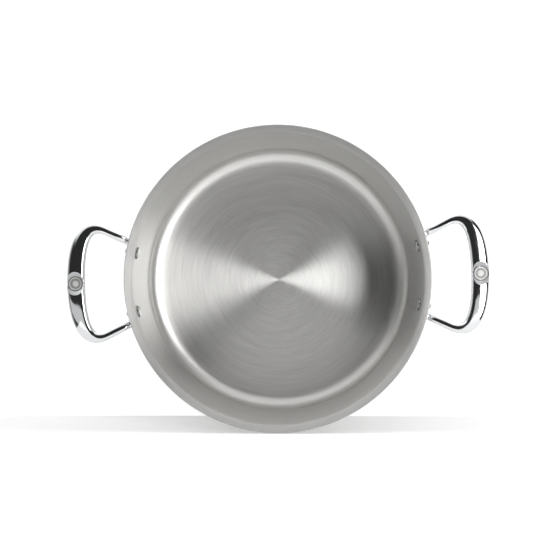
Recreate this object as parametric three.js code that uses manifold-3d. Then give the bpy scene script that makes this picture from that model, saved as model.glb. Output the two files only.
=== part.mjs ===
// Stew pan: a clad steel pot with two cast loop handles, each held by two solid rivets.
// Millimetres, +Z up. The origin is the middle of the underside, on the surface that the pan stands on.
// The handles lie along X, and the pot is a body of revolution about Z.

import * as THREE from "three";
import { mergeVertices } from "three/addons/utils/BufferGeometryUtils.js";
import Module from "manifold-3d";

const wasm = await Module();
wasm.setup();

const { cos, sin, tan, asin, sqrt, PI } = Math;
const degrees = THREE.MathUtils.degToRad;
const vector = (x, y, z) => new THREE.Vector3(x, y, z);
const point = (radius, height) => new THREE.Vector2(radius, height); // of a turned profile

// Pot: three bonded sheets, drawn together
const INNER_DIAMETER = 240; // straight wall, food side
const INNER_DEPTH = 104; // cooking surface to the top of the lip
const CORNER_WIDTH = 17; // rounding between base and wall, along the base, food side
const CORNER_HEIGHT = 11.5; // the same rounding, up the wall
const LINING_THICKNESS = 0.5;
const CORE_THICKNESS = 1.7;
const SHELL_THICKNESS = 0.5;
const LIP_ANGLE = degrees(65); // of the pouring lip, out from the wall
const LIP_BEND_RADIUS = 2; // outside of the sheet
const LIP_LENGTH = 3; // straight edge after the bend

// Handle plate, curved to the wall, with a round end behind each leg
const PLATE_THICKNESS = 4;
const PLATE_HEIGHT = 17;
const PLATE_DROP = 15; // top of the lip to the plate's middle line
const LEG_ROOT_SPAN = 67.2; // between the legs, at the plate's face

// Handle loop, from its plate out to the grip and back
const GRIP_REACH = 43.5; // outside of the wall to the middle of the grip
const GRIP_DROP = 5.2; // top of the lip to the middle of the grip
const LEG_LENGTH = 20.6; // plate's face to the start of the corner, seen from above
const ROOT_SLOPE = degrees(24); // of a leg, where it leaves the plate
const CORNER_SLOPE = degrees(8.3); // of a leg, at the start of the corner
const LEG_SPLAY = degrees(26.6);
const CORNER_PULL = 8.2; // how far the leg's line carries on into the corner
const GRIP_PULL = 51.4; // how far the grip's line carries on into the corner
const LEG_WIDTH = 7.2;
const LEG_HEIGHT = 9;
const GRIP_WIDTH = 15;
const GRIP_HEIGHT = 8.6;
const GRIP_LEAN = degrees(3); // top of the grip, away from the pot
const SECTION_POWER = 3; // 2 is an ellipse, more is squarer
const ROOT_FILLET = 0.6; // between leg and plate

// Rivets: a low head inside the pot, and a domed one on the plate
const RIVET_SPAN = 49; // between the two shanks, at the food side of the wall
const SHANK_DIAMETER = 4.6;
const RIVET_HEAD_DIAMETER = 10;
const RIVET_HEAD_HEIGHT = 2.2;
const RIVET_HEAD_EDGE = 0.7; // straight edge of the low head
const RIVET_FACE_DIAMETER = 5; // flat in the middle of the low head
const RIVET_TAIL_DIAMETER = 5.6;
const RIVET_TAIL_HEIGHT = 2.7;

// Badge: a plain turned disc, in a pocket at the bottom of a wide countersink on top of the grip
const BADGE_DIAMETER = 11.8;
const BADGE_THICKNESS = 1.5;
const BADGE_FLOOR_THICKNESS = 0.9; // of the sunk ring between rim and boss
const BADGE_RIM_WIDTH = 1.3;
const BADGE_BOSS_DIAMETER = 5.4;
const BADGE_BOSS_TOP_DIAMETER = 2.7;
const BADGE_SINK = 1.9; // crown of the grip to the top of the badge
const SEAT_BEVEL = degrees(60); // of the countersink, out from its axis

// Clearances
const SEAT_GAP = 0.3; // between faces that are seated on each other
const HOLE_CLEARANCE = 0.15; // all round a shank

// Fineness of the faceted surfaces
const POT_SEGMENTS = 64;
const ROUND_SEGMENTS = 20;
const CORNER_STEPS = 5;
const LIP_STEPS = 3;
const PLATE_STEPS = 16;
const SECTION_SIDES = 14;
const FILLET_STEPS = 2;
const LEG_STEPS = 4;
const CURVE_STEPS = 13;
const DOME_STEPS = 3;

// Sizes that follow from those above
const SHEET_THICKNESS = LINING_THICKNESS + CORE_THICKNESS + SHELL_THICKNESS;
const INNER_RADIUS = INNER_DIAMETER / 2;
const WALL_RADIUS = INNER_RADIUS + SHEET_THICKNESS;
const LIP_TOP = SHEET_THICKNESS + INNER_DEPTH;
const LIP_OUTER_BEND = LIP_BEND_RADIUS + SHEET_THICKNESS;
const BEND_HEIGHT = LIP_TOP - LIP_OUTER_BEND * sin(LIP_ANGLE) - LIP_LENGTH * cos(LIP_ANGLE);
const PLATE_MIDDLE = LIP_TOP - PLATE_DROP;
const PLATE_INNER_RADIUS = WALL_RADIUS + SEAT_GAP;
const PLATE_OUTER_RADIUS = PLATE_INNER_RADIUS + PLATE_THICKNESS;
const RIVET_ANGLE = asin(RIVET_SPAN / 2 / INNER_RADIUS);
const HOLE_RADIUS = SHANK_DIAMETER / 2 + HOLE_CLEARANCE;
const SEAT_RADIUS = BADGE_DIAMETER / 2 + SEAT_GAP;
const POCKET_DEPTH = BADGE_THICKNESS + SEAT_GAP;
const SEAT_DEPTH = BADGE_SINK + POCKET_DEPTH;

const POLISHED_STEEL = { color: 0xc9cbcc, roughness: 0.12, metalness: 1 };
const BRUSHED_STEEL = { color: 0xb9bab6, roughness: 0.34, metalness: 1 };
const SATIN_STEEL = { color: 0xbfc0be, roughness: 0.25, metalness: 1 };
const BARE_ALUMINIUM = { color: 0xd2d3d4, roughness: 0.45, metalness: 1 };

// A closed geometry as a solid that can be joined and cut.
function solidOf(geometry) {
  geometry.deleteAttribute("normal");
  geometry.deleteAttribute("uv");
  const merged = mergeVertices(geometry);
  return new wasm.Manifold(
    new wasm.Mesh({
      numProp: 3,
      vertProperties: merged.attributes.position.array,
      triVerts: new Uint32Array(merged.index.array),
    }),
  );
}

function geometryOf(solid) {
  const { numProp, vertProperties, triVerts } = solid.getMesh();
  const positions = new THREE.InterleavedBuffer(vertProperties, numProp);
  const geometry = new THREE.BufferGeometry();
  geometry.setAttribute("position", new THREE.InterleavedBufferAttribute(positions, 3, 0));
  geometry.setIndex(new THREE.BufferAttribute(triVerts, 1));
  const plain = geometry.toNonIndexed();
  plain.computeVertexNormals();
  return plain;
}

function piece(name, geometry, finish) {
  const mesh = new THREE.Mesh(geometry, new THREE.MeshStandardMaterial(finish));
  mesh.name = name;
  return mesh;
}

// Points of part of an oval in the plane of a profile, from one angle to the other, both ends included.
function oval(x, y, wide, high, from, to, steps) {
  return Array.from({ length: steps + 1 }, (_, i) => {
    const angle = from + ((to - from) * i) / steps;
    return point(x + wide * cos(angle), y + high * sin(angle));
  });
}

function arc(x, y, radius, from, to, steps) {
  return oval(x, y, radius, radius, from, to, steps);
}

// A body of revolution about Z, from a profile of radius and height that runs up its outside.
function turned(profile, segments) {
  return new THREE.LatheGeometry(profile, segments).rotateX(PI / 2);
}

// One face of the sheet, from the axis to the lip's edge, at a depth below the food side.
function sheetFace(depth) {
  const corner = INNER_RADIUS - CORNER_WIDTH;
  const foot = SHEET_THICKNESS + CORNER_HEIGHT;
  const bend = LIP_OUTER_BEND - depth;
  const bendAxis = WALL_RADIUS + LIP_BEND_RADIUS;
  const lip = arc(bendAxis, BEND_HEIGHT, bend, PI, PI - LIP_ANGLE, LIP_STEPS);
  const edge = point(sin(LIP_ANGLE), cos(LIP_ANGLE)).multiplyScalar(LIP_LENGTH);
  return [
    point(0, SHEET_THICKNESS - depth),
    ...oval(corner, foot, CORNER_WIDTH + depth, CORNER_HEIGHT + depth, -PI / 2, 0, CORNER_STEPS),
    ...lip,
    edge.add(lip.at(-1)),
  ];
}

// The four rivet axes, as angles about Z.
const rivetAngles = [0, PI].flatMap((side) => [side - RIVET_ANGLE, side + RIVET_ANGLE]);

// A round bar along X, turned about Z, that cuts a rivet hole through wall and plate.
function holeCutter(angle) {
  const length = PLATE_OUTER_RADIUS;
  const bar = new THREE.CylinderGeometry(HOLE_RADIUS, HOLE_RADIUS, length, ROUND_SEGMENTS);
  bar.rotateZ(PI / 2).translate(WALL_RADIUS, 0, PLATE_MIDDLE);
  return solidOf(bar.rotateZ(angle));
}

// One sheet of the pot, between two depths below the food side, with its rivet holes.
function sheet(from, to) {
  const profile = [...sheetFace(to), ...sheetFace(from).reverse()];
  const whole = solidOf(turned(profile, POT_SEGMENTS));
  return geometryOf(rivetAngles.reduce((rest, angle) => rest.subtract(holeCutter(angle)), whole));
}

// The plate: a slice of a ring round the wall, trimmed to a long round-ended outline.
function plateSolid() {
  const end = PLATE_HEIGHT / 2;
  const half = LEG_ROOT_SPAN / 2;
  const reach = asin((half + end) / PLATE_INNER_RADIUS);
  const ring = new THREE.Shape([
    ...arc(0, 0, PLATE_OUTER_RADIUS, -reach, reach, PLATE_STEPS),
    ...arc(0, 0, PLATE_INNER_RADIUS, reach, -reach, PLATE_STEPS),
  ]);
  const band = new THREE.ExtrudeGeometry(ring, { depth: PLATE_HEIGHT, bevelEnabled: false });
  band.translate(0, 0, PLATE_MIDDLE - end);

  const outline = new THREE.Shape([
    ...arc(half, 0, end, -PI / 2, PI / 2, ROUND_SEGMENTS / 2),
    ...arc(-half, 0, end, PI / 2, (3 * PI) / 2, ROUND_SEGMENTS / 2),
  ]);
  const trim = new THREE.ExtrudeGeometry(outline, { depth: PLATE_OUTER_RADIUS, bevelEnabled: false });
  trim.rotateX(PI / 2).rotateZ(PI / 2).translate(0, 0, PLATE_MIDDLE);
  return solidOf(band).intersect(solidOf(trim));
}

// A length of leg, seen from above, at a slope.
function legStep(length, slope) {
  return vector(cos(LEG_SPLAY), sin(LEG_SPLAY), tan(slope)).multiplyScalar(length);
}

// Half of the loop's middle line: a leg that rises out of the plate, then one curve to the grip's middle.
function halfLoop() {
  const rootAngle = asin(LEG_ROOT_SPAN / 2 / PLATE_OUTER_RADIUS);
  const face = vector(cos(rootAngle), sin(rootAngle), 0).multiplyScalar(PLATE_OUTER_RADIUS);
  face.z = PLATE_MIDDLE;
  const bend = legStep(LEG_LENGTH / 2, ROOT_SLOPE).add(face);
  const legEnd = legStep(LEG_LENGTH / 2, CORNER_SLOPE).add(bend);
  const corner = legStep(CORNER_PULL, CORNER_SLOPE).add(legEnd);
  const middle = vector(WALL_RADIUS + GRIP_REACH, 0, LIP_TOP - GRIP_DROP);
  const gripLine = vector(0, GRIP_PULL, 0).add(middle);
  return {
    leg: new THREE.QuadraticBezierCurve3(face, bend, legEnd),
    curve: new THREE.CubicBezierCurve3(legEnd, corner, gripLine, middle),
  };
}

// The section's axes at a point of the loop: its side, away from the finger gap, and its top.
function sectionAxes(tangent, lean) {
  const side = vector(0, 0, 1).cross(tangent).normalize().applyAxisAngle(tangent, -lean);
  return { side, top: tangent.clone().cross(side) };
}

// One ring of the loop's surface: a rounded section that grows where it runs into the plate.
function sectionRing(centre, tangent, share, fromPlate) {
  const { side, top } = sectionAxes(tangent, GRIP_LEAN * share);
  const inFillet = THREE.MathUtils.clamp(1 - fromPlate / ROOT_FILLET, 0, 1);
  const flare = ROOT_FILLET * (1 - sqrt(1 - inFillet ** 2));
  const halfWidth = THREE.MathUtils.lerp(LEG_WIDTH, GRIP_WIDTH, share) / 2 + flare;
  const halfHeight = THREE.MathUtils.lerp(LEG_HEIGHT, GRIP_HEIGHT, share) / 2 + flare;
  const bulge = (value) => Math.sign(value) * Math.abs(value) ** (2 / SECTION_POWER);
  return Array.from({ length: SECTION_SIDES }, (_, i) => {
    const angle = (2 * PI * i) / SECTION_SIDES;
    return centre
      .clone()
      .addScaledVector(side, halfWidth * bulge(cos(angle)))
      .addScaledVector(top, halfHeight * bulge(sin(angle)));
  });
}

// The rings of half of the loop, from inside the plate to the middle of the grip.
function halfRings({ leg, curve }) {
  const rings = [];
  const outward = leg.getTangent(0);
  const inFillet = Array.from({ length: FILLET_STEPS + 1 }, (_, i) => (ROOT_FILLET * i) / FILLET_STEPS);
  for (const fromPlate of [-PLATE_THICKNESS / 2, ...inFillet]) {
    const centre = leg.v0.clone().addScaledVector(outward, fromPlate);
    rings.push(sectionRing(centre, outward, 0, fromPlate));
  }
  for (let i = 1; i < LEG_STEPS; i++) {
    const share = i / LEG_STEPS;
    rings.push(sectionRing(leg.getPoint(share), leg.getTangent(share), 0, ROOT_FILLET));
  }
  for (let i = 0; i <= CURVE_STEPS; i++) {
    const share = i / CURVE_STEPS;
    const widening = THREE.MathUtils.smoothstep(share, 0, 1);
    rings.push(sectionRing(curve.getPoint(share), curve.getTangent(share), widening, ROOT_FILLET));
  }
  return rings;
}

// A closed tube through rings of equal length, with a flat face at either end.
function loft(rings) {
  const sides = rings[0].length;
  const last = (rings.length - 1) * sides;
  const index = [];
  for (let start = 0; start < last; start += sides)
    for (let i = 0; i < sides; i++) {
      const a = start + i;
      const b = start + ((i + 1) % sides);
      index.push(a, b, b + sides, a, b + sides, a + sides);
    }
  for (let i = 1; i + 1 < sides; i++) index.push(0, i + 1, i, last, last + i, last + i + 1);
  const geometry = new THREE.BufferGeometry().setFromPoints(rings.flat());
  geometry.setIndex(index);
  return geometry;
}

// The whole loop: the half on the +Y side, and its mirror image.
function loopSolid() {
  const half = halfRings(halfLoop());
  const mirrored = half.slice(0, -1).map((ring) => ring.map(({ x, y, z }) => vector(x, -y, z)));
  return solidOf(loft([...half, ...mirrored.reverse()]));
}

// A point on the badge's axis, at a height above the grip's crown.
function badgePoint(height) {
  const { curve } = halfLoop();
  const { top } = sectionAxes(curve.getTangent(1), GRIP_LEAN);
  return curve.v3.clone().addScaledVector(top, GRIP_HEIGHT / 2 + height);
}

// The seat's cutter: the badge's pocket, and the countersink over it, up to well above the grip.
function seatCutter() {
  const sinkDepth = BADGE_SINK + GRIP_HEIGHT;
  const sinkRadius = SEAT_RADIUS + sinkDepth * tan(SEAT_BEVEL);
  const profile = [
    point(0, 0),
    point(SEAT_RADIUS, 0),
    point(SEAT_RADIUS, POCKET_DEPTH),
    point(sinkRadius, POCKET_DEPTH + sinkDepth),
    point(0, POCKET_DEPTH + sinkDepth),
  ];
  const { x, y, z } = badgePoint(-SEAT_DEPTH);
  return solidOf(turned(profile, ROUND_SEGMENTS).rotateY(GRIP_LEAN).translate(x, y, z));
}

function handleGeometry() {
  const pot = new THREE.CylinderGeometry(PLATE_INNER_RADIUS, PLATE_INNER_RADIUS, LIP_TOP, POT_SEGMENTS);
  const wall = solidOf(pot.rotateX(PI / 2).translate(0, 0, LIP_TOP / 2));
  const cutters = [holeCutter(-RIVET_ANGLE), holeCutter(RIVET_ANGLE), seatCutter()];
  const cast = plateSolid().add(loopSolid().subtract(wall));
  return geometryOf(cutters.reduce((rest, cutter) => rest.subtract(cutter), cast));
}

// A set rivet along +X: its low head inside the pot, its shank, and its domed tail on the plate.
function rivetGeometry() {
  const headRadius = RIVET_HEAD_DIAMETER / 2;
  const shankRadius = SHANK_DIAMETER / 2;
  const wallUnderHead = sqrt(INNER_RADIUS ** 2 - headRadius ** 2);
  const underHead = wallUnderHead - SEAT_GAP;
  const underTail = PLATE_OUTER_RADIUS + SEAT_GAP;
  const tailRadius = RIVET_TAIL_DIAMETER / 2;
  const domeRadius = (tailRadius ** 2 + RIVET_TAIL_HEIGHT ** 2) / (2 * RIVET_TAIL_HEIGHT);
  const domeCentre = underTail + RIVET_TAIL_HEIGHT - domeRadius;
  const domeStart = PI / 2 - asin(tailRadius / domeRadius);
  const dome = arc(0, domeCentre, domeRadius, domeStart, PI / 2, DOME_STEPS);
  const profile = [
    point(0, underHead - RIVET_HEAD_HEIGHT),
    point(RIVET_FACE_DIAMETER / 2, underHead - RIVET_HEAD_HEIGHT),
    point(headRadius, underHead - RIVET_HEAD_EDGE),
    point(headRadius, underHead),
    point(shankRadius, underHead),
    point(shankRadius, underTail),
    ...dome.slice(0, -1),
    point(0, underTail + RIVET_TAIL_HEIGHT),
  ];
  return turned(profile, ROUND_SEGMENTS).rotateY(PI / 2);
}

// The badge, standing on its seat: a raised rim and a low boss round a sunk ring.
function badgeGeometry() {
  const radius = BADGE_DIAMETER / 2;
  const profile = [
    point(0, 0),
    point(radius, 0),
    point(radius, BADGE_THICKNESS),
    point(radius - BADGE_RIM_WIDTH, BADGE_THICKNESS),
    point(radius - BADGE_RIM_WIDTH, BADGE_FLOOR_THICKNESS),
    point(BADGE_BOSS_DIAMETER / 2, BADGE_FLOOR_THICKNESS),
    point(BADGE_BOSS_TOP_DIAMETER / 2, BADGE_THICKNESS),
    point(0, BADGE_THICKNESS),
  ];
  return turned(profile, ROUND_SEGMENTS);
}

// One handle with its rivets and badge, in a group that is turned to its side of the pot.
function handleGroup(side, angle) {
  const group = new THREE.Group();
  group.rotation.z = angle;
  group.add(piece(`handle_${side}`, handleGeometry(), POLISHED_STEEL));

  const rows = angle === 0 ? ["front", "rear"] : ["rear", "front"];
  [-RIVET_ANGLE, RIVET_ANGLE].forEach((rivetAngle, i) => {
    const rivet = piece(`rivet_${side}_${rows[i]}`, rivetGeometry(), SATIN_STEEL);
    rivet.position.z = PLATE_MIDDLE;
    rivet.rotation.z = rivetAngle;
    group.add(rivet);
  });

  const badge = piece(`badge_${side}`, badgeGeometry(), SATIN_STEEL);
  badge.position.copy(badgePoint(SEAT_GAP - SEAT_DEPTH));
  badge.rotation.y = GRIP_LEAN;
  group.add(badge);
  return group;
}

const coreDepth = LINING_THICKNESS;
const shellDepth = LINING_THICKNESS + CORE_THICKNESS;
const stewPan = new THREE.Group();
stewPan.add(
  piece("inner_lining", sheet(0, coreDepth), BRUSHED_STEEL),
  piece("aluminium_core", sheet(coreDepth, shellDepth), BARE_ALUMINIUM),
  piece("outer_shell", sheet(shellDepth, SHEET_THICKNESS), POLISHED_STEEL),
  handleGroup("right", 0),
  handleGroup("left", PI),
);

export default stewPan;
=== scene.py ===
"""A two-handled stew pan of clad steel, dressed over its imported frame.

The pot is three bonded sheets turned about Z. Each cast handle is a loop on a curved plate, held by two
rivets, with a small turned disc set into its grip. Metres, +Z up, with the handles along X.
"""

from math import asin, copysign, cos, pi, radians, sin, sqrt, tan

import bmesh
import bpy
from bpy.props import FloatProperty, FloatVectorProperty, PointerProperty
from mathutils import Matrix, Vector


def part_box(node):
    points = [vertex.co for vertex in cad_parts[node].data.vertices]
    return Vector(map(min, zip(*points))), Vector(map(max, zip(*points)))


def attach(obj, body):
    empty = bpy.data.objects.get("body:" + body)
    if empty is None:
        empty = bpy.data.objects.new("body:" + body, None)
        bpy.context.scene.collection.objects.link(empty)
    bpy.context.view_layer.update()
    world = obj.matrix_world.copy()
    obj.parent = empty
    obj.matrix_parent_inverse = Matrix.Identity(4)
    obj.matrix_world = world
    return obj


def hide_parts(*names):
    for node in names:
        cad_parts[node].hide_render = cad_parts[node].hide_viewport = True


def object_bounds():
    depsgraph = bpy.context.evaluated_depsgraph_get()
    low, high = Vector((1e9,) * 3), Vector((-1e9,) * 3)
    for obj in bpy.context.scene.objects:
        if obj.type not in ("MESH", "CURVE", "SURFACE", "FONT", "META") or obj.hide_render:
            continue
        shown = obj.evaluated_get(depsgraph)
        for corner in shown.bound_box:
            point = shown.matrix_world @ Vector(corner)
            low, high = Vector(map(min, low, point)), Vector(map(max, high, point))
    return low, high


bl_info = {
    "name": "Stew pan",
    "version": (1, 0, 0),
    "blender": (4, 5, 0),
    "location": "3D View > Sidebar > Stew pan",
    "description": "Builds a two-handled stew pan of clad steel on a plain studio floor",
    "category": "Add Mesh",
}

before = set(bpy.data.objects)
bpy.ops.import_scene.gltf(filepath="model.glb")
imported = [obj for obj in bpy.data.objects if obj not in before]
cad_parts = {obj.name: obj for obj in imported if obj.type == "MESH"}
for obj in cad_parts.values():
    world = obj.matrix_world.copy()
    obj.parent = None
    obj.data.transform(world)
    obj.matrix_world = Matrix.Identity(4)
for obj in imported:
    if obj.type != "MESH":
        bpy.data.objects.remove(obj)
CAD_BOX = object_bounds()

BODY = "root"
FIT = 0.0004  # a piece's box and its solid's differ by less than this
SEAT_GAP = 0.0003  # between faces that are seated on each other
HOLE_CLEARANCE = 0.00015  # all round a shank
CREASE = radians(30)  # edges that turn more than this stay crisp
SAME_POINT = 1e-7  # points nearer than this are one
SENSOR_WIDTH = 36  # of the camera, in millimetres

# How many steps a curve is cut into
POT_SEGMENTS = 256
SEAT_SEGMENTS = 128
BADGE_SEGMENTS = 96
RIVET_SEGMENTS = 64
HOLE_SEGMENTS = 48
SECTION_SIDES = 72
GRIP_STEPS = 72
LEG_STEPS = 16
FILLET_STEPS = 8
BASE_STEPS = 8
CORNER_STEPS = 32
WALL_STEPS = 16
LIP_STEPS = 12
LIP_EDGE_STEPS = 6
PLATE_END_STEPS = 32
PLATE_SIDE_STEPS = 24
PLATE_EDGE_STEPS = 8
PLATE_FACE_STEPS = 6
HEAD_STEPS = 10
DOME_STEPS = 12
RIM_STEPS = 4

# Soft walls of the room: bearing and reach to either hand in degrees, and top on the unit sphere
REAR_WALL = (100, 60, 0.86)
LEFT_WALL = (180, 40, 0.64)
LOW_WALL = (90, 65, 0.5)
SIDE_FADE = 18  # degrees
TOP_FADE = 0.02  # above and below the top of a soft wall
HORIZON = (0.36, 0.26)  # heights on the unit sphere between which the room turns pale

# The parts of a noise's range that are put to use
MIDDLE_HALF = (0.25, 0.75)
MIDDLE_MOST = (0.2, 0.8)
MIDDLE_LESS = (0.3, 0.7)


# Settings

def length(name, description, millimetres):
    """A size that is shown in the scene's own units of length."""
    return FloatProperty(
        name=name, description=description, default=millimetres / 1000, unit="LENGTH", precision=5
    )


def angle(name, description, degrees):
    """An angle that is shown in degrees."""
    return FloatProperty(name=name, description=description, default=radians(degrees), subtype="ANGLE")


def factor(name, description, value, top=1.0):
    """A plain number from nothing up to a limit."""
    return FloatProperty(name=name, description=description, default=value, min=0, max=top, subtype="FACTOR")


def colour(name, description, red, green, blue):
    """A linear colour."""
    return FloatVectorProperty(
        name=name, description=description, default=(red, green, blue), min=0, max=1, subtype="COLOR"
    )


def brightness(name, description, value):
    """How bright a light looks, where white paper is one."""
    return FloatProperty(name=name, description=description, default=value, min=0)


def place(name, description, x, y, z):
    """A point in metres."""
    return FloatVectorProperty(name=name, description=description, default=(x, y, z), subtype="TRANSLATION")


def settings(name, description, kind):
    """A group of settings."""
    return PointerProperty(name=name, description=description, type=kind)


class PotSettings(bpy.types.PropertyGroup):
    """Sizes of the pot and its three bonded sheets"""

    inner_diameter: length("Inside diameter", "Straight wall, food side", 240)
    inner_depth: length("Inside depth", "Cooking surface to the top of the lip", 104)
    corner_width: length("Corner width", "Rounding between base and wall, along the base, food side", 17)
    corner_height: length("Corner height", "The same rounding, up the wall", 11.5)
    lining: length("Lining", "Thickness of the steel on the food side", 0.5)
    core: length("Core", "Thickness of the aluminium", 1.7)
    shell: length("Shell", "Thickness of the steel on the outside", 0.5)
    lip_bend: length("Lip bend", "Radius where the lip leaves the wall, food side", 3.73)
    bend_angle: angle("Bend angle", "Of the lip after that bend, out from the wall", 45)
    lip_sweep: length("Lip sweep", "Radius of the rest of the lip, food side", 12.44)
    lip_angle: angle("Lip angle", "Of the lip at its edge, out from the wall", 70)
    edge_round: length("Edge round", "Radius that breaks the lip's cut edge", 0.35)

    @property
    def sheet(self):
        return self.lining + self.core + self.shell

    @property
    def inner_radius(self):
        return self.inner_diameter / 2

    @property
    def wall_radius(self):
        return self.inner_radius + self.sheet

    @property
    def lip_top(self):
        return self.sheet + self.inner_depth

    @property
    def wall_foot(self):
        return self.sheet + self.corner_height

    @property
    def sweep_height(self):
        return self.lip_top - self.lip_sweep * sin(self.lip_angle)

    @property
    def lip_foot(self):
        return self.sweep_height + (self.lip_sweep - self.lip_bend) * sin(self.bend_angle)


class HandleSettings(bpy.types.PropertyGroup):
    """Sizes of a cast handle: its plate on the wall, two legs and the grip"""

    plate_thickness: length("Plate thickness", "Of the curved plate on the wall", 4)
    plate_height: length("Plate height", "Also the diameter of its round ends", 17)
    plate_drop: length("Plate drop", "Top of the lip to the plate's middle line", 15)
    plate_round: length("Plate edge round", "Radius of the plate's outer edge", 1.2)
    root_span: length("Leg span", "Between the legs, at the plate's face", 67.2)
    grip_reach: length("Grip reach", "Outside of the wall to the middle of the grip", 43.5)
    grip_drop: length("Grip drop", "Top of the lip to the middle of the grip", 5.2)
    leg_length: length("Leg length", "Plate's face to the corner, seen from above", 20.6)
    root_slope: angle("Root slope", "Of a leg, where it leaves the plate", 24)
    corner_slope: angle("Corner slope", "Of a leg, at the start of the corner", 8.3)
    leg_splay: angle("Leg splay", "Of each leg, away from the other", 26.6)
    corner_pull: length("Corner pull", "How far the leg's line carries on into the corner", 8.2)
    grip_pull: length("Grip pull", "How far the grip's line carries on into the corner", 51.4)
    leg_width: length("Leg width", "Seen from above", 7.2)
    leg_height: length("Leg height", "Seen from the side", 9)
    grip_width: length("Grip width", "Seen from above", 15)
    grip_height: length("Grip height", "Seen from the side", 8.6)
    grip_lean: angle("Grip lean", "Top of the grip, away from the pot", 3)
    section_power: FloatProperty(
        name="Section power", description="2 is an ellipse, more is squarer", default=3, min=2, max=6
    )
    fillet: length("Root fillet", "Between leg and plate", 2.2)
    rivet_fillet: length("Root fillet at the rivet", "Between leg and plate, beside a rivet", 0.6)


class RivetSettings(bpy.types.PropertyGroup):
    """Sizes of a solid rivet: a low head inside the pot and a domed tail on the plate"""

    span: length("Rivet span", "Between a handle's two shanks, at the food side of the wall", 49)
    shank: length("Shank diameter", "Through wall and plate", 4.6)
    head: length("Head diameter", "Low head inside the pot", 10)
    head_height: length("Head height", "Low head inside the pot", 2.2)
    head_edge: length("Head edge", "Straight edge of the low head", 0.7)
    face: length("Face diameter", "Flat in the middle of the low head", 5)
    tail: length("Tail diameter", "Domed tail on the plate", 5.6)
    tail_height: length("Tail height", "Domed tail on the plate", 2.7)


class BadgeSettings(bpy.types.PropertyGroup):
    """Sizes of the turned disc and of its seat in the grip"""

    diameter: length("Disc diameter", "Over its rim", 11.8)
    thickness: length("Disc thickness", "At its rim", 1.5)
    floor: length("Floor thickness", "Of the sunk ring between rim and boss", 0.9)
    rim: length("Rim width", "Of the raised rim", 1.3)
    boss: length("Boss diameter", "At its foot", 5.4)
    boss_top: length("Boss top", "Diameter of its flat", 2.7)
    sink: length("Sink", "Crown of the grip to the top of the disc", 1.9)
    bevel: angle("Seat bevel", "Of the countersink, out from its axis", 60)


class FinishSettings(bpy.types.PropertyGroup):
    """Colours, polish and painted shade of the metals"""

    lining: colour("Lining steel", "Brushed steel on the food side", 0.70, 0.695, 0.68)
    lining_rough: factor("Lining roughness", "Of the circular brushing", 0.36)
    corner_share: factor("Corner brushing", "Of the rounded corner, as a share of the rest", 0.32)
    lip_share: factor("Lip roughness", "Roughness of the lip, as a share of the rest", 1.45, 2.0)
    # Painted shade: a share taken off the colour of the wall and lip, so they are drawn darker than the base
    painted_wall_shade: factor("Wall shade", "How much darker the wall and lip are than the base", 0.13)
    core: colour("Core aluminium", "Cut edge of the core", 0.55, 0.55, 0.56)
    shell: colour("Shell steel", "Outside and underside", 0.62, 0.62, 0.61)
    shell_rough: factor("Shell roughness", "Of the satin outside", 0.22)
    handle: colour("Handle steel", "Polished castings", 0.74, 0.75, 0.76)
    handle_rough: factor("Handle roughness", "Of the polish", 0.07)
    # Painted shade on the discs' seats, as a share of the polished steel
    seat_painted_shade: factor("Seat tone", "Of the discs' seats, as a share of the polished steel", 0.62)
    seat_rough: factor("Seat roughness", "More than that of the polish", 0.25)
    rivet: colour("Rivet steel", "Heads and tails", 0.70, 0.70, 0.69)
    badge: colour("Disc steel", "Turned discs on the grips", 0.70, 0.70, 0.69)


class StageSettings(bpy.types.PropertyGroup):
    """Floor, light and camera"""

    floor: colour("Floor", "Plain pale floor", 0.45, 0.45, 0.45)
    floor_glow: factor("Floor white", "Light that the floor shows of its own", 0.84)
    card: colour("Card", "Pale card that stands against the rim", 0.8, 0.8, 0.8)
    card_glow: factor("Card white", "Light that the card shows of its own", 0.31)
    card_left: length("Card left", "Left edge, along X", -340)
    card_right: length("Card right", "Right edge, along X", 340)
    card_height: length("Card height", "Above the floor", 780)
    eye: place("Camera", "Where the camera stands", 0.013, -0.0067, 0.8667)
    aim: place("Aim", "What the camera points at", 0.0021, -0.0013, 0.1067)
    roll: angle("Roll", "Turn of the camera about its view", 1.5)
    lens: FloatProperty(name="Lens", description="Focal length", default=59.83, unit="CAMERA")
    panel: place("Panel", "Middle of the soft light beside the camera", 0.615, 0.03, 0.985)
    panel_width: length("Panel width", "Along X", 410)
    panel_depth: length("Panel depth", "Along Y", 660)
    panel_soft: length("Panel fade", "Of the edge that is nearer the pan", 60)
    rear_soft: length("Rear fade", "Of the panel's rear edge", 200)
    panel_light: brightness("Panel light", "Soft light beside the camera", 11.2)
    fill: place("Fill", "Middle of the right low light, which the left one mirrors", 0.28, -0.049, 0.3)
    fill_width: length("Fill width", "Along X", 260)
    fill_depth: length("Fill depth", "Along Y", 42)
    fill_light: brightness("Fill light", "Low soft lights beside the handles", 0.65)
    rear_light: brightness("Rear light", "Wide soft light to the rear", 0.92)
    left_light: brightness("Left light", "Low soft light to the left", 0.22)
    horizon_light: brightness("Horizon", "Pale walls, low down", 1.0)
    low_light: brightness("Low rear light", "Behind the pan, low down, on the card", 1.8)
    room_light: brightness("Room", "Dark room overhead", 0.03)


class StewPanSettings(bpy.types.PropertyGroup):
    """All the settings of the stew pan"""

    pot: settings("Pot", "Sizes of the pot", PotSettings)
    handle: settings("Handle", "Sizes of the handles", HandleSettings)
    rivet: settings("Rivet", "Sizes of the rivets", RivetSettings)
    badge: settings("Badge", "Sizes of the discs", BadgeSettings)
    finish: settings("Finish", "Colours and polish", FinishSettings)
    stage: settings("Stage", "Floor, light and camera", StageSettings)


# Sizes that several pieces share

def plate_middle(pan):
    """Height of the plates' middle line, which the rivets lie on."""
    return pan.pot.lip_top - pan.handle.plate_drop


def plate_faces(pan):
    """Radii of the plate's face on the wall and of its outer face."""
    inner = pan.pot.wall_radius + SEAT_GAP
    return inner, inner + pan.handle.plate_thickness


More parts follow.
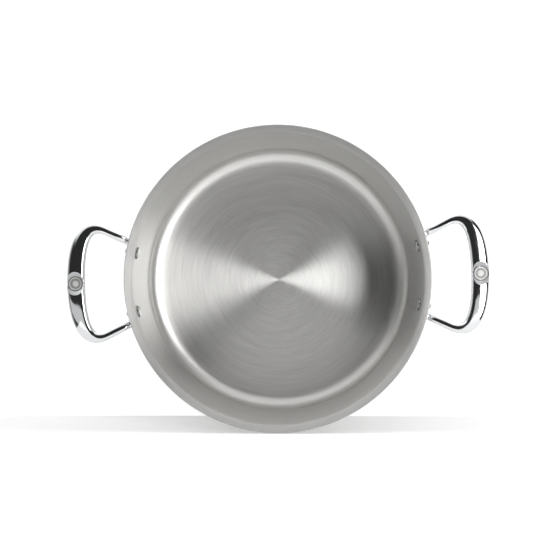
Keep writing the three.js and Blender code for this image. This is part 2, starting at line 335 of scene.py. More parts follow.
def rivet_turns(pan):
    """The rivets' names with their angles about Z."""
    turn = asin(pan.rivet.span / 2 / pan.pot.inner_radius)
    return {
        "rivet_right_front": -turn,
        "rivet_right_rear": turn,
        "rivet_left_rear": pi - turn,
        "rivet_left_front": pi + turn,
    }


def rivet_matrix(pan, turn):
    """The place of a rivet whose axis is its own Z."""
    level = Matrix.Translation((0, 0, plate_middle(pan)))
    return level @ Matrix.Rotation(turn, 4, "Z") @ Matrix.Rotation(pi / 2, 4, "Y")


def grip_middle(pan):
    """The middle of the right grip."""
    reach, drop = pan.handle.grip_reach, pan.handle.grip_drop
    return Vector((pan.pot.wall_radius + reach, 0, pan.pot.lip_top - drop))


def badge_matrix(pan, height):
    """The place on the right grip's badge axis, at a height above its crown."""
    lean = Matrix.Rotation(pan.handle.grip_lean, 4, "Y")
    crown = lean @ Vector((0, 0, pan.handle.grip_height / 2 + height))
    return Matrix.Translation(grip_middle(pan) + crown) @ lean


# Mesh making

def oval(x, y, wide, high, start, end, steps):
    """Points of part of an oval in a profile's plane, both ends included."""
    turns = [start + (end - start) * i / steps for i in range(steps + 1)]
    return [(x + wide * cos(turn), y + high * sin(turn)) for turn in turns]


def arc(x, y, radius, start, end, steps):
    """Points of an arc in a profile's plane, both ends included."""
    return oval(x, y, radius, radius, start, end, steps)


def clean(mesh, close, flat=False):
    """Join points that are close, drop flat faces if asked to, and turn the rest outward."""
    work = bmesh.new()
    work.from_mesh(mesh)
    bmesh.ops.remove_doubles(work, verts=work.verts, dist=close)
    if flat:
        bmesh.ops.dissolve_degenerate(work, edges=work.edges, dist=close)
    bmesh.ops.recalc_face_normals(work, faces=work.faces)
    work.to_mesh(mesh)
    work.free()


def object_of(name, points, faces):
    """A mesh object with its faces turned outward."""
    mesh = bpy.data.meshes.new(name)
    mesh.from_pydata(points, [], faces)
    clean(mesh, SAME_POINT)
    made = bpy.data.objects.new(name, mesh)
    bpy.context.scene.collection.objects.link(made)
    return made


def turned(name, profile, segments):
    """A body turned about Z from a profile of radius and height, which starts and ends on the axis."""
    points = []
    rings = []
    turns = [2 * pi * i / segments for i in range(segments)]
    for radius, height in profile:
        if radius < SAME_POINT:
            rings.append([len(points)] * segments)
            points.append((0, 0, height))
            continue
        rings.append(range(len(points), len(points) + segments))
        points += [(radius * cos(turn), radius * sin(turn), height) for turn in turns]
    faces = []
    for low, high in zip(rings, rings[1:]):
        for i in range(segments):
            k = (i + 1) % segments
            faces.append(list(dict.fromkeys((low[i], low[k], high[k], high[i]))))
    return object_of(name, points, faces)


def tube_faces(count, sides):
    """Faces between rings that have so many points together, and so many each."""
    faces = []
    for start in range(0, count - sides, sides):
        for i in range(sides):
            k = (i + 1) % sides
            faces.append((start + i, start + k, start + sides + k, start + sides + i))
    return faces


def lofted(name, rings):
    """A tube through rings of equal length, closed by a face at either end."""
    sides = len(rings[0])
    points = [tuple(p) for ring in rings for p in ring]
    ends = [list(range(sides)), list(range(len(points) - sides, len(points)))]
    return object_of(name, points, ends + tube_faces(len(points), sides))


def combine(target, tool, operation):
    """Join or cut one object by another, which is used up."""
    modifier = target.modifiers.new("combine", "BOOLEAN")
    modifier.operation = operation
    modifier.solver = "EXACT"
    modifier.object = tool
    graph = bpy.context.evaluated_depsgraph_get()
    result = bpy.data.meshes.new_from_object(target.evaluated_get(graph))
    target.modifiers.clear()
    spent = [target.data, tool.data]
    target.data = result
    bpy.data.objects.remove(tool)
    for mesh in spent:
        bpy.data.meshes.remove(mesh)
    if not result.polygons:
        raise RuntimeError(f"{target.name} is empty after {operation}")


def finish_piece(piece, node, material, matrix=None):
    """Shade a piece, test it against its solid, and put it in that solid's place."""
    mesh = piece.data
    mesh.materials.clear()
    mesh.materials.append(material)
    mesh.shade_smooth()
    mesh.set_sharp_from_angle(angle=CREASE)
    matrix = matrix or Matrix.Identity(4)
    corners = [matrix @ vertex.co for vertex in mesh.vertices]
    for axis, (low, high) in enumerate(zip(*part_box(node))):
        reach = [corner[axis] for corner in corners]
        miss = max(abs(min(reach) - low), abs(max(reach) - high))
        if miss > FIT:
            raise RuntimeError(f"{piece.name} misses {node} by {miss:.5f} m along {'XYZ'[axis]}")
    piece.matrix_world = matrix
    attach(piece, BODY)
    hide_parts(node)


# Materials

class Shader:
    """The node tree of a material or a world, with short ways to add to it."""

    def __init__(self, owner):
        owner.use_nodes = True
        self.owner = owner
        self.tree = owner.node_tree
        self.surface = self.tree.nodes.get("Principled BSDF")

    def add(self, kind, inputs=None, **settings):
        """One node, with values or links on its inputs."""
        node = self.tree.nodes.new(kind)
        for key, value in settings.items():
            setattr(node, key, value)
        for key, value in (inputs or {}).items():
            self.put(node.inputs[key], value)
        return node

    def put(self, socket, value):
        """A link where the value is another node's output, and otherwise a plain value."""
        if isinstance(value, bpy.types.NodeSocket):
            self.tree.links.new(value, socket)
        else:
            socket.default_value = value

    def calc(self, operation, *values):
        """A sum of one, two or three numbers."""
        return self.add("ShaderNodeMath", dict(enumerate(values)), operation=operation).outputs[0]

    def measure(self, operation, *vectors):
        """A number found from one or two vectors."""
        node = self.add("ShaderNodeVectorMath", dict(enumerate(vectors)), operation=operation)
        return node.outputs["Value"]

    def remap(self, value, low, high, start, end):
        """A number moved from one range into another, and kept there."""
        inputs = {0: value, 1: low, 2: high, 3: start, 4: end}
        return self.add("ShaderNodeMapRange", inputs, interpolation_type="SMOOTHSTEP").outputs[0]

    def noise(self, vector, scale, detail=2.0):
        """Soft noise about a half."""
        inputs = {"Vector": vector, "Scale": scale, "Detail": detail, "Roughness": 0.6}
        return self.add("ShaderNodeTexNoise", inputs).outputs["Fac"]

    def tone(self, colour_value, amount):
        """A colour made lighter or darker by a number about one."""
        inputs = {0: colour_value, "Scale": amount}
        return self.add("ShaderNodeVectorMath", inputs, operation="SCALE").outputs["Vector"]

    def place(self):
        """The point on the surface, in the piece's own axes."""
        return self.add("ShaderNodeTexCoord").outputs["Object"]

    def split(self, vector):
        """The three numbers of a vector."""
        return self.add("ShaderNodeSeparateXYZ", {0: vector}).outputs

    def round_coordinates(self):
        """Cosine and sine about the piece's axis, the radius, and the way along its profile."""
        x, y, z = self.split(self.place())
        radius = self.calc("SQRT", self.calc("MULTIPLY_ADD", x, x, self.calc("MULTIPLY", y, y)))
        safe = self.calc("MAXIMUM", radius, 1e-5)
        along = self.calc("ADD", radius, z)
        return self.calc("DIVIDE", x, safe), self.calc("DIVIDE", y, safe), radius, along

    def facing_inward(self, at, reach, limit):
        """One where the surface is near an upright axis at a reach along X, to either side, and faces it."""
        turned_in = -0.0005  # metres from the axis, along the surface's normal
        way = self.add("ShaderNodeNewGeometry").outputs["True Normal"]
        x, y, _ = self.split(at)
        side = self.calc("SIGN", x)
        across = self.calc("MULTIPLY_ADD", side, -reach, x)
        from_axis = self.add("ShaderNodeCombineXYZ", {0: across, 1: y}).outputs[0]
        faces_it = self.calc("LESS_THAN", self.measure("DOT_PRODUCT", way, from_axis), turned_in)
        near = self.calc("LESS_THAN", self.measure("LENGTH", from_axis), limit)
        return self.calc("MULTIPLY", faces_it, near)

    def rings(self, coordinates, spacing, stroke, detail=2.0):
        """Noise in rings about the axis: as fine as the spacing, and as long as the stroke in radians."""
        cosine, sine, _, along = coordinates
        sizes = ((cosine, stroke), (sine, stroke), (along, spacing))
        parts = [self.calc("MULTIPLY", value, 1 / size) for value, size in sizes]
        vector = self.add("ShaderNodeCombineXYZ", dict(enumerate(parts))).outputs[0]
        return self.noise(vector, 1.0, detail)

    def share_between(self, coordinates, low, high, share):
        """A factor that is one, but only a share of it between two heights on the piece."""
        _, _, radius, along = coordinates
        height = self.calc("SUBTRACT", along, radius)
        soft = (high - low) / 4
        above = self.remap(height, low, low + soft / 2, 0, 1)
        inside = self.calc("MULTIPLY", above, self.remap(height, high - soft, high + soft, 1, 0))
        return self.calc("SUBTRACT", 1, self.calc("MULTIPLY", inside, 1 - share))

    def bump(self, height, strength, depth, **more):
        """The normal of a surface that follows a height."""
        inputs = {"Strength": strength, "Distance": depth, "Height": height, **more}
        return self.add("ShaderNodeBump", inputs).outputs["Normal"]

    def brushed_round(self, base, roughness, spread, anisotropy, depth, grain=0.04, zones=()):
        """Steel that was brushed in circles about the piece's axis."""
        darkest, lightest = 0.95, 1.035
        coordinates = self.round_coordinates()
        bands = self.rings(coordinates, spacing=0.0045, stroke=0.9)
        strokes = self.rings(coordinates, spacing=0.0009, stroke=0.35, detail=3.0)
        tone = self.calc(
            "ADD",
            self.remap(bands, *MIDDLE_HALF, darkest, lightest),
            self.remap(strokes, *MIDDLE_MOST, -grain, grain),
        )
        rough = self.calc(
            "ADD",
            self.remap(bands, *MIDDLE_HALF, roughness - spread, roughness + spread),
            self.remap(strokes, *MIDDLE_MOST, -spread / 2, spread / 2),
        )
        for zone in zones:
            rough = self.calc("MULTIPLY", rough, self.share_between(coordinates, *zone))
        bump = self.bump(strokes, strength=0.35, depth=depth)
        tangent = self.add("ShaderNodeTangent", direction_type="RADIAL", axis="Z").outputs["Tangent"]
        self.set(base=self.tone((*base,), tone), rough=rough, normal=bump, tangent=tangent)
        self.surface.inputs["Anisotropic"].default_value = anisotropy
        self.surface.inputs["Anisotropic Rotation"].default_value = 0.25  # a quarter turn
        return self.owner

    def darken(self, amount):
        """Take a share off the colour that is already there."""
        socket = self.surface.inputs["Base Color"]
        self.put(socket, self.tone(socket.links[0].from_socket, self.calc("SUBTRACT", 1, amount)))

    def show(self, node):
        """A matt surface or a light in the metal's place."""
        self.tree.nodes.remove(self.surface)
        self.put(self.tree.nodes["Material Output"].inputs["Surface"], node.outputs[0])

    def set(self, base, rough, normal=None, tangent=None):
        """The metal's main inputs."""
        values = {"Base Color": base, "Roughness": rough, "Normal": normal, "Tangent": tangent}
        self.surface.inputs["Metallic"].default_value = 1.0
        for key, value in values.items():
            if value is not None:
                self.put(self.surface.inputs[key], value)


def new_shader(name):
    """The shader of a new material."""
    return Shader(bpy.data.materials.new(name))


def lining_steel(finish, pot):
    """Brushed steel on the food side, less so in the drawn corner, and rougher on the rolled lip, with
    painted shade that darkens the wall and lip.
    """
    foot = pot.wall_foot
    lip = (pot.lip_foot, pot.lip_top + pot.lip_sweep, finish.lip_share)
    shader = new_shader("lining_steel")
    marks = {"spread": 0.02, "anisotropy": 0.95, "depth": 0.00003, "grain": 0.08}
    shader.brushed_round(finish.lining, finish.lining_rough, zones=(lip,), **marks)
    corner = shader.share_between(shader.round_coordinates(), pot.sheet, foot, finish.corner_share)
    brushing = shader.surface.inputs["Anisotropic"]
    shader.put(brushing, shader.calc("MULTIPLY", brushing.default_value, corner))
    height = shader.split(shader.place())[2]
    # Painted shade: the wall and lip colour darkens from the foot of the wall upward
    shader.darken(shader.remap(height, foot, foot + pot.corner_height, 0.0, finish.painted_wall_shade))
    return shader.owner


def shell_steel(finish):
    """Satin steel on the outside and underside."""
    shader = new_shader("shell_steel")
    return shader.brushed_round(finish.shell, finish.shell_rough, spread=0.03, anisotropy=0.6, depth=0.00002)


def core_aluminium(finish):
    """Bare aluminium at the lip's cut edge, with the marks of the trimming tool."""
    shader = new_shader("core_aluminium")
    marks = shader.rings(shader.round_coordinates(), spacing=0.0002, stroke=0.02, detail=3.0)
    shader.set(
        base=shader.tone((*finish.core,), shader.remap(marks, *MIDDLE_MOST, 0.92, 1.04)),
        rough=shader.remap(marks, *MIDDLE_MOST, 0.35, 0.5),
        normal=shader.bump(marks, strength=0.3, depth=0.00003),
    )
    return shader.owner


def polished_steel(pan):
    """Mirror polished castings, with faint waves and hairlines from a wheel that doesn't reach the seats,
    which are rougher and darkened by painted shade.
    """
    finish = pan.finish
    shader = new_shader("polished_steel")
    at = shader.place()
    seat = shader.facing_inward(at, badge_matrix(pan, 0).translation.x, pan.handle.grip_width)
    hair_scale = (2600, 260, 2600)  # to the metre, so the hairs lie along Y
    waves = shader.noise(at, scale=90.0, detail=1.0)
    stretched = shader.add("ShaderNodeMapping", {"Vector": at, "Scale": hair_scale})
    hairs = shader.noise(stretched.outputs[0], scale=1.0)
    rounded = shader.add("ShaderNodeBevel", {"Radius": 0.0005}, samples=6).outputs["Normal"]
    soft = shader.bump(waves, strength=0.25, depth=0.0001, Normal=rounded)
    fine = shader.bump(hairs, strength=0.08, depth=0.00001, Normal=soft)
    rough = shader.calc(
        "ADD",
        shader.remap(waves, *MIDDLE_LESS, finish.handle_rough - 0.015, finish.handle_rough + 0.02),
        shader.remap(hairs, 0.6, 0.85, 0.0, 0.05),
    )
    tone = shader.remap(waves, *MIDDLE_LESS, 0.985, 1.01)
    # Painted shade: the discs' seats are drawn darker than the polished steel
    tone = shader.calc("MULTIPLY_ADD", seat, finish.seat_painted_shade - 1, tone)
    rough = shader.calc("MULTIPLY_ADD", seat, finish.seat_rough, rough)
    shader.set(base=shader.tone((*finish.handle,), tone), rough=rough, normal=fine)
    return shader.owner


def rivet_steel(finish, rivet):
    """Pressed rivet heads, smoothed by the setting tool, with painted shade that darkens them round the
    edge.
    """
    shader = new_shader("rivet_steel")
    material = shader.brushed_round(finish.rivet, roughness=0.15, spread=0.03, anisotropy=0.3, depth=0.00002)
    edge, soft = rivet.head / 2, 0.0003
    # Painted shade: the head's colour darkens by up to a half near its edge
    shader.darken(shader.remap(shader.round_coordinates()[2], edge - soft * 2, edge - soft, 0.0, 0.5))
    return material


def badge_steel(finish, badge):
    """Blasted discs with fine tool marks, with painted shade that darkens the sunk ring and the edge of the
    rim.
    """
    shader = new_shader("badge_steel")
    material = shader.brushed_round(finish.badge, roughness=0.7, spread=0.06, anisotropy=0.1, depth=0.00003)
    radius = shader.round_coordinates()[2]
    edge, soft = badge.diameter / 2, 0.0004
    # Painted shade: a dark line at the edge of the rim
    rim = shader.remap(radius, edge - soft * 2, edge - soft, 0.0, 0.6)
    # Painted shade: the sunk ring between boss and rim is darkened
    sunk = shader.calc(
        "MULTIPLY",
        shader.remap(radius, badge.boss / 2 - soft, badge.boss / 2, 0.0, 0.45),
        shader.remap(radius, edge - badge.rim - soft, edge - badge.rim, 1.0, 0.0),
    )
    shader.darken(shader.calc("ADD", rim, sunk))
    return material


# Pot

def sheet_face(pot, depth):
    """One face of the sheet, from the axis to the lip's edge, at a depth below the food side."""
    corner = pot.inner_radius - pot.corner_width
    foot, rise = pot.wall_foot, pot.lip_foot - pot.wall_foot
    bend_axis = pot.inner_radius + pot.lip_bend
    sweep_axis = bend_axis + (pot.lip_sweep - pot.lip_bend) * cos(pot.bend_angle)
    bent, swept = pi - pot.bend_angle, pi - pot.lip_angle
    wide, high = pot.corner_width + depth, pot.corner_height + depth
    base = [(corner * i / BASE_STEPS, pot.sheet - depth) for i in range(BASE_STEPS)]
    rounding = oval(corner, foot, wide, high, -pi / 2, 0, CORNER_STEPS)
    wall = [(pot.inner_radius + depth, foot + rise * i / WALL_STEPS) for i in range(1, WALL_STEPS)]
    bend = arc(bend_axis, pot.lip_foot, pot.lip_bend - depth, pi, bent, LIP_STEPS)
    sweep = arc(sweep_axis, pot.sweep_height, pot.lip_sweep - depth, bent, swept, LIP_STEPS)
    return [*base, *rounding, *wall, *bend[:-1], *sweep]


def broken_edge(pot, edge, inward):
    """The small round that breaks one corner of the lip's cut edge."""
    out = Vector((sin(pot.lip_angle), cos(pot.lip_angle)))
    deep = Vector((cos(pot.lip_angle), -sin(pot.lip_angle))) * inward
    middle = Vector(edge) - pot.edge_round * (out - deep)
    turns = [pi / 2 * i / LIP_EDGE_STEPS for i in range(LIP_EDGE_STEPS + 1)]
    return [tuple(middle + pot.edge_round * (out * sin(turn) - deep * cos(turn))) for turn in turns]


def sheet_piece(pan, name, upper, lower):
    """One sheet between two depths below the food side, with its rivet holes."""
    pot = pan.pot
    top, under = sheet_face(pot, upper), sheet_face(pot, lower)
    if upper == 0:
        top[-1:] = broken_edge(pot, top[-1], 1)
    if lower >= pot.sheet:
        under[-1:] = broken_edge(pot, under[-1], -1)
    piece = turned(name, [*under, *reversed(top)], POT_SEGMENTS)
    for turn in rivet_turns(pan).values():
        combine(piece, hole_cutter(pan, turn), "DIFFERENCE")
    return piece


def hole_cutter(pan, turn):
    """A round bar through wall and plate, for one rivet's shank."""
    radius = pan.rivet.shank / 2 + HOLE_CLEARANCE
    past = 0.01
    start, end = pan.pot.inner_radius - past, plate_faces(pan)[1] + past
    bar = turned("hole", [(0, start), (radius, start), (radius, end), (0, end)], HOLE_SEGMENTS)
    bar.data.transform(rivet_matrix(pan, turn))
    return bar


class MakePot(bpy.types.Operator):
    """Make the pot's three bonded sheets"""

    bl_idname = "stew_pan.make_pot"
    bl_label = "Make the pot"

    def execute(self, context):
        pan = context.scene.stew_pan
        pot = pan.pot
        below_lining = pot.lining
        below_core = pot.lining + pot.core
        lining = sheet_piece(pan, "lining_sheet", 0, below_lining)
        finish_piece(lining, "inner_lining", lining_steel(pan.finish, pot))
        core = sheet_piece(pan, "core_sheet", below_lining, below_core)
        finish_piece(core, "aluminium_core", core_aluminium(pan.finish))
        shell = sheet_piece(pan, "shell_sheet", below_core, pot.sheet)
        finish_piece(shell, "outer_shell", shell_steel(pan.finish))
        return {"FINISHED"}


# Handles

def plate_object(pan):
    """The plate: rounded-off loops about its middle line, bent to the wall."""
    handle = pan.handle
    inner, outer = plate_faces(pan)
    end, half = handle.plate_height / 2, handle.root_span / 2
    rounding = handle.plate_round
    corner = [i / PLATE_EDGE_STEPS * pi / 2 for i in range(PLATE_EDGE_STEPS + 1)]
    shares = [i / PLATE_FACE_STEPS for i in range(PLATE_FACE_STEPS + 1)]
    steps = [(end * (1 - share) + rounding * share, outer) for share in shares[:-1]]
    steps += [(rounding * (1 - sin(turn)), outer - rounding * (1 - cos(turn))) for turn in corner]
    steps += [(0, inner)]
    steps += [(end * share, inner) for share in shares[1:]]

    def outline(inset):
        round_end = arc(half, 0, end - inset, -pi / 2, pi / 2, PLATE_END_STEPS)
        far_end = arc(-half, 0, end - inset, pi / 2, 3 * pi / 2, PLATE_END_STEPS)
        straight = [half - 2 * half * i / PLATE_SIDE_STEPS for i in range(1, PLATE_SIDE_STEPS)]
        above = [(u, end - inset) for u in straight]
        below = [(-u, inset - end) for u in straight]
        return [*round_end, *above, *far_end, *below]

    points = []
    for inset, radius in steps:
        points += [(sqrt(radius**2 - u**2), u, plate_middle(pan) + v) for u, v in outline(inset)]
    plate = object_of("plate", points, tube_faces(len(points), len(outline(0))))
    clean(plate.data, SAME_POINT * 10, flat=True)  # where its loops close on the middle line
    return plate


def section_axes(tangent, lean):
    """The section's side, away from the finger gap, and its top."""
    side = Matrix.Rotation(-lean, 3, tangent) @ Vector((0, 0, 1)).cross(tangent).normalized()
    return side, tangent.cross(side)


def section(handle, tangent, share):
    """Offsets of one rounded section from the loop's middle line, and how far each faces outward."""
    side, top = section_axes(tangent, handle.grip_lean * share)
    wide = (handle.leg_width + (handle.grip_width - handle.leg_width) * share) / 2
    high = (handle.leg_height + (handle.grip_height - handle.leg_height) * share) / 2
    power = 2 / handle.section_power
    offsets = []
    for i in range(SECTION_SIDES):
        turn = 2 * pi * i / SECTION_SIDES
        across, up = (copysign(abs(value) ** power, value) for value in (cos(turn), sin(turn)))
        offsets.append((side * wide * across + top * high * up, cos(turn)))
    return offsets


def smooth(value, low, high):
    """A soft step from 0 to 1."""
    share = min(max((value - low) / (high - low), 0), 1)
    return share * share * (3 - 2 * share)


def on_plate(point, radius):
    """The point moved level with the plate's round face."""
    scale = radius / sqrt(point.x**2 + point.y**2)
    return Vector((point.x * scale, point.y * scale, point.z))


def root_rings(pan, face, leg, offsets):
    """Rings that run from inside the plate, through the fillet, on to the straight leg."""
    under, rooted = 0.00002, 0.002  # depths in the plate, of the fillet's edge and of the first ring
    rivet_side, free_side = -0.95, -0.2  # how far outward the section faces, for either fillet
    handle = pan.handle
    radius = plate_faces(pan)[1]
    lines = []
    for offset, outward in offsets:
        start = face + offset
        a = leg.x**2 + leg.y**2
        b = start.x * leg.x + start.y * leg.y
        c = start.x**2 + start.y**2 - radius**2
        foot = start + leg * ((-b + sqrt(b * b - a * c)) / a)
        normal = Vector((foot.x, foot.y, 0)).normalized()
        away = (offset - normal * offset.dot(normal)).normalized()
        share = smooth(outward, rivet_side, free_side)
        reach = handle.rivet_fillet + (handle.fillet - handle.rivet_fillet) * share
        lines.append((foot, on_plate(foot + away * reach, radius - under), foot + leg * reach))
    rings = [[on_plate(spread, radius - rooted) for _, spread, _ in lines]]
    for i in range(FILLET_STEPS + 1):
        t = i / FILLET_STEPS
        rings.append([
            spread * (1 - t) ** 2 + foot * 2 * t * (1 - t) + up * t * t
            for foot, spread, up in lines
        ])
    return rings


def leg_step(handle, distance, slope):
    """A length of leg, seen from above, at a slope."""
    return Vector((cos(handle.leg_splay), sin(handle.leg_splay), tan(slope))) * distance


def bezier(pulls, share):
    """A point on a Bezier curve, and the way that the curve runs there."""
    while len(pulls) > 2:
        pulls = [start.lerp(end, share) for start, end in zip(pulls, pulls[1:])]
    start, end = pulls
    return start.lerp(end, share), (end - start).normalized()


def loop_object(pan):
    """The whole loop: one half, and its mirror image."""
    handle = pan.handle
    radius = plate_faces(pan)[1]
    turn = asin(handle.root_span / 2 / radius)
    face = Vector((radius * cos(turn), radius * sin(turn), plate_middle(pan)))
    bend = face + leg_step(handle, handle.leg_length / 2, handle.root_slope)
    leg_end = bend + leg_step(handle, handle.leg_length / 2, handle.corner_slope)
    corner = leg_end + leg_step(handle, handle.corner_pull, handle.corner_slope)
    middle = grip_middle(pan)
    pulls = [leg_end, corner, middle + Vector((0, handle.grip_pull, 0)), middle]

    at_root = section(handle, (bend - face).normalized(), 0)
    at_end = section(handle, (leg_end - bend).normalized(), 0)
    rings = root_rings(pan, face, (bend - face).normalized(), at_root)
    lines = [
        (start, bend + low, leg_end + high)
        for start, (low, _), (high, _) in zip(rings[-1], at_root, at_end)
    ]
    rings += [[bezier(line, i / LEG_STEPS)[0] for line in lines] for i in range(1, LEG_STEPS)]
    for i in range(GRIP_STEPS + 1):
        share = i / GRIP_STEPS
        point, tangent = bezier(pulls, share)
        rings.append([point + offset for offset, _ in section(handle, tangent, smooth(share, 0, 1))])
    mirrored = [[Vector((p.x, -p.y, p.z)) for p in ring] for ring in rings[:-1]]
    return lofted("loop", [*rings, *reversed(mirrored)])


def seat_cutter(pan):
    """The badge's pocket, and the countersink over it, up to well above the grip."""
    badge = pan.badge
    radius = badge.diameter / 2 + SEAT_GAP
    pocket = badge.thickness + SEAT_GAP
    sink = badge.sink + pan.handle.grip_height
    top = pocket + sink
    profile = [(0, 0), (radius, 0), (radius, pocket), (radius + sink * tan(badge.bevel), top), (0, top)]
    cutter = turned("seat", profile, SEAT_SEGMENTS)
    cutter.data.transform(badge_matrix(pan, -badge.sink - pocket))
    return cutter


class MakeHandles(bpy.types.Operator):
    """Make the two cast handles"""

    bl_idname = "stew_pan.make_handles"
    bl_label = "Make the handles"

    def execute(self, context):
        pan = context.scene.stew_pan
        turns = rivet_turns(pan)
        right = plate_object(pan)
        right.name = "cast_handle_right"
        combine(right, loop_object(pan), "UNION")
        for name in ("rivet_right_front", "rivet_right_rear"):
            combine(right, hole_cutter(pan, turns[name]), "DIFFERENCE")
        combine(right, seat_cutter(pan), "DIFFERENCE")
        left = bpy.data.objects.new("cast_handle_left", right.data.copy())
        left.data.transform(Matrix.Rotation(pi, 4, "Z"))
        context.scene.collection.objects.link(left)
        steel = polished_steel(pan)
        finish_piece(right, "handle_right", steel)
        finish_piece(left, "handle_left", steel)
        return {"FINISHED"}


# Rivets

def rivet_profile(pan):
    """Half of a set rivet, from the middle of its low head to the top of its domed tail."""
    rivet = pan.rivet
    head, shank, tail = rivet.head / 2, rivet.shank / 2, rivet.tail / 2
    under_head = sqrt(pan.pot.inner_radius**2 - head**2) - SEAT_GAP
    under_tail = plate_faces(pan)[1] + SEAT_GAP
    top = under_head - rivet.head_height
    shoulder = under_head - rivet.head_edge
    crown = (tail**2 + rivet.tail_height**2) / (2 * rivet.tail_height)
    middle = under_tail + rivet.tail_height - crown
    dome = arc(0, middle, crown, pi / 2 - asin(tail / crown), pi / 2, DOME_STEPS)
    pull = top * 0.55 + shoulder * 0.45
    slope = [
        (rivet.face / 2 * (1 - t) ** 2 + head * 2 * t * (1 - t) + head * t * t,
         top * (1 - t) ** 2 + pull * 2 * t * (1 - t) + shoulder * t * t)
        for t in (i / HEAD_STEPS for i in range(HEAD_STEPS + 1))
    ]
    stem = [(head, under_head), (shank, under_head), (shank, under_tail)]
    return [(0, top), *slope, *stem, *dome[:-1], (0, under_tail + rivet.tail_height)]


class MakeRivets(bpy.types.Operator):
    """Make the four rivets"""

    bl_idname = "stew_pan.make_rivets"
    bl_label = "Make the rivets"

    def execute(self, context):
        pan = context.scene.stew_pan
        steel = rivet_steel(pan.finish, pan.rivet)
        for node, turn in rivet_turns(pan).items():
            piece = turned(f"set_{node}", rivet_profile(pan), RIVET_SEGMENTS)
            finish_piece(piece, node, steel, rivet_matrix(pan, turn))
        return {"FINISHED"}


# Badges

def badge_profile(pan):
    """Half of the turned disc: a raised rim and a low boss round a sunk ring."""
    badge = pan.badge
    radius = badge.diameter / 2
    soft = 0.0002
    rim_in = radius - badge.rim
    return [
        (0, 0),
        (radius, 0),
        *arc(radius - soft, badge.thickness - soft, soft, 0, pi / 2, RIM_STEPS),
        *arc(rim_in + soft, badge.thickness - soft, soft, pi / 2, pi, RIM_STEPS),
        (rim_in, badge.floor),
        (badge.boss / 2, badge.floor),
        (badge.boss_top / 2, badge.thickness),
        (0, badge.thickness),
    ]


class MakeBadges(bpy.types.Operator):
    """Make the two turned discs"""

    bl_idname = "stew_pan.make_badges"
    bl_label = "Make the discs"

    def execute(self, context):
        pan = context.scene.stew_pan
        steel = badge_steel(pan.finish, pan.badge)
        seat = badge_matrix(pan, -pan.badge.sink - pan.badge.thickness)
        for node, turn in (("badge_right", 0), ("badge_left", pi)):
            piece = turned(f"turned_{node}", badge_profile(pan), BADGE_SEGMENTS)
            finish_piece(piece, node, steel, Matrix.Rotation(turn, 4, "Z") @ seat)
        return {"FINISHED"}


# Stage

def studio_world(scene, stage):
    """A dark room, pale about the horizon, with a wide soft light behind and a low one at the left."""
    shader = Shader(bpy.data.worlds.new("studio"))
    scene.world = shader.owner
    at = shader.add("ShaderNodeTexCoord").outputs["Generated"]
    height = shader.split(at)[2]
    level = shader.add("ShaderNodeVectorMath", {0: at, 1: (1, 1, 0)}, operation="MULTIPLY").outputs[0]
    bearing = shader.add("ShaderNodeVectorMath", {0: level}, operation="NORMALIZE").outputs[0]

    def soft_wall(degrees, reach, top, light):
        """Light from one side, so many degrees to either hand and up to a height on the unit sphere."""
        way = (cos(radians(degrees)), sin(radians(degrees)), 0)
        near = shader.measure("DOT_PRODUCT", bearing, way)
        aside = shader.remap(near, cos(radians(reach)), cos(radians(reach - SIDE_FADE)), 0.0, light)
        return shader.calc("MULTIPLY", aside, shader.remap(height, top + TOP_FADE, top - TOP_FADE, 0.0, 1.0))

    rear, left = soft_wall(*REAR_WALL, stage.rear_light), soft_wall(*LEFT_WALL, stage.left_light)
    upper = shader.calc("ADD", shader.calc("ADD", rear, left), stage.room_light)
    lower = shader.calc("ADD", soft_wall(*LOW_WALL, stage.low_light), stage.horizon_light)
    horizon = shader.remap(height, *HORIZON, 0.0, 1.0)
    light = shader.add("ShaderNodeMix", {0: horizon, 2: upper, 3: lower}, data_type="FLOAT").outputs[0]
    background = shader.tree.nodes["Background"]
    shader.put(background.inputs["Strength"], light)
    background.inputs["Color"].default_value = (1, 1, 1, 1)


def paper(name, tone, glow):
    """Pale paper that keeps shadows and shows some light of its own. The camera sees through its back."""
    shader = new_shader(name)
    path = shader.add("ShaderNodeLightPath").outputs
    seen = shader.calc(
        "MAXIMUM",
        path["Is Camera Ray"],
        shader.calc("MAXIMUM", path["Is Glossy Ray"], path["Is Transmission Ray"]),
    )
    matt = shader.add("ShaderNodeBsdfDiffuse", {"Color": (*tone, 1)})
    light = shader.add("ShaderNodeEmission", {"Strength": shader.calc("MULTIPLY", seen, glow)})
    both = shader.add("ShaderNodeAddShader", {0: matt.outputs[0], 1: light.outputs[0]})
    behind = shader.add("ShaderNodeNewGeometry").outputs["Backfacing"]
    clear = shader.calc("MULTIPLY", behind, path["Is Camera Ray"])
    none = shader.add("ShaderNodeBsdfTransparent")
    mix = shader.add("ShaderNodeMixShader", {0: clear, 1: both.outputs[0], 2: none.outputs[0]})
    shader.show(mix)
    return shader.owner


def studio_floor(stage):
    """A wide pale floor that stays near white and keeps the pan's shadow."""
    size, drop = 10.0, -0.0002
    corners = [(-size, -size, drop), (size, -size, drop), (size, size, drop), (-size, size, drop)]
    floor = object_of("studio_floor", corners, [(0, 1, 2, 3)])
    floor.data.materials.append(paper("floor_paper", stage.floor, stage.floor_glow))


def rim_card(stage):
    """A pale card upright against the rim, which takes the rim's shadow."""
    left, right, height = stage.card_left, stage.card_right, stage.card_height
    front = CAD_BOX[0][1] - SEAT_GAP
    corners = [(left, front, 0), (left, front, height), (right, front, height), (right, front, 0)]
    card = object_of("rim_card", corners, [(0, 1, 2, 3)])
    card.data.transform(Matrix.Rotation(-stage.roll, 4, "Z"))
    card.data.materials.append(paper("card_paper", stage.card, stage.card_glow))


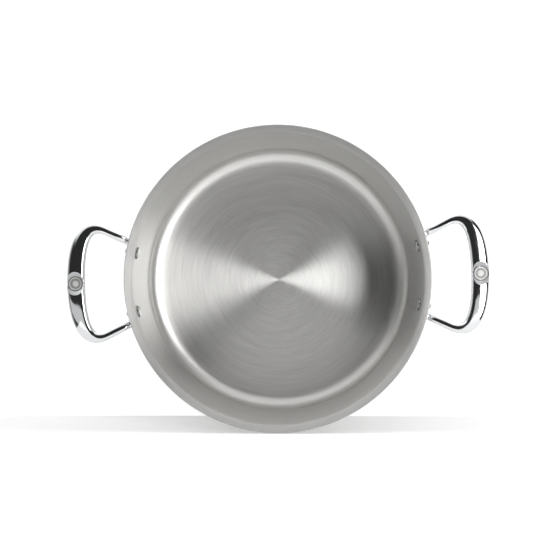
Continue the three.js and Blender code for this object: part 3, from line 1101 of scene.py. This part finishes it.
def soft_light(scene, name, middle, width, depth, light):
    """A flat soft light that faces the floor and is as bright as white paper times a number."""
    lamp = bpy.data.lights.new(name, "AREA")
    lamp.shape = "RECTANGLE"
    lamp.size, lamp.size_y = width, depth
    lamp.energy = light * pi * width * depth
    panel = bpy.data.objects.new(name, lamp)
    panel.location = middle
    panel.visible_camera = False
    scene.collection.objects.link(panel)


def soft_panel(stage):
    """The soft light beside the camera, which fades towards the pan and towards the rear."""
    wide, deep = stage.panel_width / 2, stage.panel_depth / 2
    corners = [(-wide, -deep, 0), (wide, -deep, 0), (wide, deep, 0), (-wide, deep, 0)]
    panel = object_of("soft_panel", corners, [(0, 1, 2, 3)])
    panel.location = stage.panel
    panel.visible_camera = False
    shader = new_shader("panel_light")
    across, along, _ = shader.split(shader.place())
    fade = shader.calc(
        "MULTIPLY",
        shader.remap(across, -wide, stage.panel_soft - wide, 0.0, stage.panel_light),
        shader.remap(along, deep - stage.rear_soft, deep, 1.0, 0.0),
    )
    shader.show(shader.add("ShaderNodeEmission", {"Strength": fade}))
    panel.data.materials.append(shader.owner)


def camera_matrix(stage):
    """Where the camera stands, with its view turned about its own axis."""
    eye, aim = Vector(stage.eye), Vector(stage.aim)
    view = (aim - eye).normalized()
    right = view.cross(Vector((sin(stage.roll), cos(stage.roll), 0))).normalized()
    up = right.cross(view)
    turn = Matrix((right, up, -view)).transposed().to_4x4()
    return Matrix.Translation(eye) @ turn


class SetStage(bpy.types.Operator):
    """Set up the floor, the light and the camera"""

    bl_idname = "stew_pan.set_stage"
    bl_label = "Set the stage"

    def execute(self, context):
        scene = context.scene
        stage = scene.stew_pan.stage
        scene.view_settings.view_transform = "Standard"
        studio_world(scene, stage)
        studio_floor(stage)
        rim_card(stage)
        soft_panel(stage)
        for side in (1, -1):
            middle = Vector(stage.fill) * Vector((side, 1, 1))
            soft_light(scene, "fill", middle, stage.fill_width, stage.fill_depth, stage.fill_light)
        data = bpy.data.cameras.new("camera")
        data.lens = stage.lens
        data.sensor_width = SENSOR_WIDTH
        camera = bpy.data.objects.new("camera", data)
        camera.matrix_world = camera_matrix(stage)
        scene.collection.objects.link(camera)
        scene.camera = camera
        return {"FINISHED"}


class StewPanPanel(bpy.types.Panel):
    """The stew pan's settings and steps"""

    bl_idname = "VIEW3D_PT_stew_pan"
    bl_label = "Stew pan"
    bl_space_type = "VIEW_3D"
    bl_region_type = "UI"
    bl_category = "Stew pan"

    def draw(self, context):
        pan = context.scene.stew_pan
        for operator in OPERATORS:
            self.layout.operator(operator.bl_idname)
        for group in (pan.pot, pan.handle, pan.rivet, pan.badge, pan.finish, pan.stage):
            box = self.layout.box()
            for name in group.__annotations__:
                box.prop(group, name)


SIZES = (PotSettings, HandleSettings, RivetSettings, BadgeSettings)
GROUPS = (*SIZES, FinishSettings, StageSettings, StewPanSettings)
OPERATORS = (MakePot, MakeHandles, MakeRivets, MakeBadges, SetStage)
CLASSES = (*GROUPS, *OPERATORS, StewPanPanel)


def register():
    for item in CLASSES:
        bpy.utils.register_class(item)
    bpy.types.Scene.stew_pan = settings("Stew pan", "Settings of the stew pan", StewPanSettings)


def unregister():
    del bpy.types.Scene.stew_pan
    for item in reversed(CLASSES):
        bpy.utils.unregister_class(item)


def main():
    """Build the pan and its stage."""
    register()
    bpy.ops.stew_pan.make_pot()
    bpy.ops.stew_pan.make_handles()
    bpy.ops.stew_pan.make_rivets()
    bpy.ops.stew_pan.make_badges()
    bpy.ops.stew_pan.set_stage()


if __name__ == "__main__":
    main()
